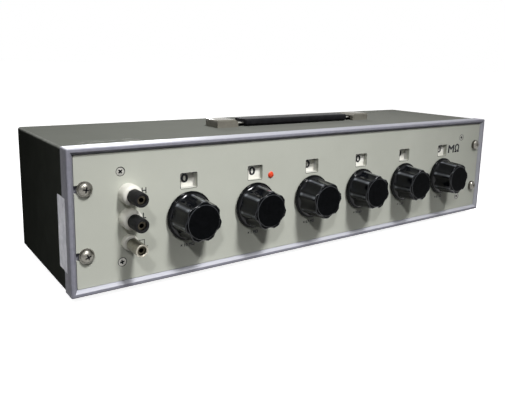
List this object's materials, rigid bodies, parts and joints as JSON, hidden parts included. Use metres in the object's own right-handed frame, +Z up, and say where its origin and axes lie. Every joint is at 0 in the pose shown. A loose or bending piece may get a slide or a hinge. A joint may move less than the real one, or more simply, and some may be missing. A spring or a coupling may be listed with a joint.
{
  "type": "decade resistance box",
  "caption": "Bench decade resistance box: fluted rotary knobs under digit windows, binding posts with plug sockets, framed panel, low steel case and a strap handle.",
  "frame": {"origin": "under the middle of the whole box, at the level the feet stand on", "axes": "+X to the operator's right, +Y from the knobs to the back, +Z up"},
  "size_m": [0.538, 0.1808, 0.133],
  "materials": {
    "case_paint": "fine matt texture paint, dark olive grey",
    "bezel_metal": "satin anodised",
    "panel_paint": "semi-matt light grey paint",
    "frame_grey": "moulded pale grey",
    "zinc_steel": "bright zinc plate",
    "strap_steel": "spring steel, bright",
    "nickel": "bright nickel plate",
    "brass": "machined",
    "copper": "tinned copper wire",
    "deck_bakelite": "paper laminate sheet",
    "wafer_laminate": "glass laminate sheet",
    "resistor_coat": "lacquer coat",
    "point_orange": "moulded, translucent orange red",
    "insulator_white": "moulded white",
    "cap_black": "moulded charcoal",
    "black_bakelite": "polished black moulding",
    "dial_white": "white disc with black figures",
    "grip_black": "soft black moulding",
    "foot_rubber": "black rubber"
  },
  "bodies": {
    "box": {"case_body": "case_paint", "front_bezel": "bezel_metal", "front_panel": "panel_paint", "window_frames": "frame_grey", "panel_screws": "zinc_steel", "panel_washers": "zinc_steel", "deck_standoffs": "zinc_steel", "standoff_screws": "zinc_steel", "switch_deck": "deck_bakelite", "deck_screws": "zinc_steel", "switch_bushings": "brass", "bushing_nuts": "zinc_steel", "wafer_spacers": "zinc_steel", "stator_wafers": "wafer_laminate", "switch_contacts": "brass", "decade_resistors": "resistor_coat", "lead_wires": "copper", "decimal_point": "point_orange", "terminal_insulators": "insulator_white", "terminal_rear_washers": "insulator_white", "terminal_studs": "nickel", "terminal_nuts": "zinc_steel", "handle_end_caps": "nickel", "handle_screws": "zinc_steel", "rubber_feet": "foot_rubber", "foot_screws": "zinc_steel"},
    "decade_1": {"knob_1": "black_bakelite", "shaft_1": "zinc_steel", "dial_1": "dial_white", "wiper_1": "brass"},
    "decade_2": {"knob_2": "black_bakelite", "shaft_2": "zinc_steel", "dial_2": "dial_white", "wiper_2": "brass"},
    "decade_3": {"knob_3": "black_bakelite", "shaft_3": "zinc_steel", "dial_3": "dial_white", "wiper_3": "brass"},
    "decade_4": {"knob_4": "black_bakelite", "shaft_4": "zinc_steel", "dial_4": "dial_white", "wiper_4": "brass"},
    "decade_5": {"knob_5": "black_bakelite", "shaft_5": "zinc_steel", "dial_5": "dial_white", "wiper_5": "brass"},
    "decade_6": {"knob_6": "black_bakelite", "shaft_6": "zinc_steel", "dial_6": "dial_white", "wiper_6": "brass"},
    "post_h_sleeve": {"terminal_sleeve_h": "brass"},
    "post_h_cap": {"terminal_cap_h": "cap_black"},
    "post_l_sleeve": {"terminal_sleeve_l": "brass"},
    "post_l_cap": {"terminal_cap_l": "cap_black"},
    "post_e_sleeve": {"terminal_sleeve_e": "brass"},
    "post_e_cap": {"terminal_cap_e": "nickel"},
    "handle_left": {"handle_strap_left": "strap_steel", "handle_grip_left": "grip_black"},
    "handle_right": {"handle_strap_right": "strap_steel", "handle_grip_right": "grip_black"}
  },
  "joints": [
    {"name": "decade_1_turn", "type": "hinge", "parent": "box", "child": "decade_1", "pos_m": [-0.1637, -0.0616, 0.0587], "axis": [0, 1, 0], "range_deg": [0, 300]},
    {"name": "decade_2_turn", "type": "hinge", "parent": "box", "child": "decade_2", "pos_m": [-0.0933, -0.0616, 0.0587], "axis": [0, 1, 0], "range_deg": [0, 300]},
    {"name": "decade_3_turn", "type": "hinge", "parent": "box", "child": "decade_3", "pos_m": [-0.0229, -0.0616, 0.0587], "axis": [0, 1, 0], "range_deg": [0, 300]},
    {"name": "decade_4_turn", "type": "hinge", "parent": "box", "child": "decade_4", "pos_m": [0.0475, -0.0616, 0.0587], "axis": [0, 1, 0], "range_deg": [0, 300]},
    {"name": "decade_5_turn", "type": "hinge", "parent": "box", "child": "decade_5", "pos_m": [0.1179, -0.0616, 0.0587], "axis": [0, 1, 0], "range_deg": [0, 300]},
    {"name": "decade_6_turn", "type": "hinge", "parent": "box", "child": "decade_6", "pos_m": [0.1883, -0.0616, 0.0587], "axis": [0, 1, 0], "range_deg": [0, 300]},
    {"name": "post_h_travel", "type": "slide", "parent": "box", "child": "post_h_sleeve", "axis": [0, -1, 0], "range_m": [0, 0.003]},
    {"name": "post_h_turn", "type": "hinge", "parent": "post_h_sleeve", "child": "post_h_cap", "pos_m": [-0.2197, -0.0904, 0.0852], "axis": [0, -1, 0], "range_deg": [0, 1080]},
    {"name": "post_l_travel", "type": "slide", "parent": "box", "child": "post_l_sleeve", "axis": [0, -1, 0], "range_m": [0, 0.003]},
    {"name": "post_l_turn", "type": "hinge", "parent": "post_l_sleeve", "child": "post_l_cap", "pos_m": [-0.2197, -0.0904, 0.0645], "axis": [0, -1, 0], "range_deg": [0, 1080]},
    {"name": "post_e_travel", "type": "slide", "parent": "box", "child": "post_e_sleeve", "axis": [0, -1, 0], "range_m": [0, 0.003]},
    {"name": "post_e_turn", "type": "hinge", "parent": "post_e_sleeve", "child": "post_e_cap", "pos_m": [-0.2197, -0.0889, 0.0438], "axis": [0, -1, 0], "range_deg": [0, 1080]},
    {"name": "handle_lift", "type": "hinge", "parent": "box", "child": "handle_left", "pos_m": [-0.074, 0.0134, 0.12855], "axis": [0, -1, 0], "range_deg": [0, 12]},
    {"name": "handle_flex", "type": "hinge", "parent": "handle_left", "child": "handle_right", "pos_m": [0.011, 0.0134, 0.1258], "axis": [0, -1, 0], "range_deg": [-24, 0]}
  ],
  "couplings": [
    {"joint": "post_h_turn", "follows": "post_h_travel", "rad_per_m": 6283.2},
    {"joint": "post_l_turn", "follows": "post_l_travel", "rad_per_m": 6283.2},
    {"joint": "post_e_turn", "follows": "post_e_travel", "rad_per_m": 6283.2},
    {"joint": "handle_flex", "follows": "handle_lift", "ratio": -2}
  ]
}
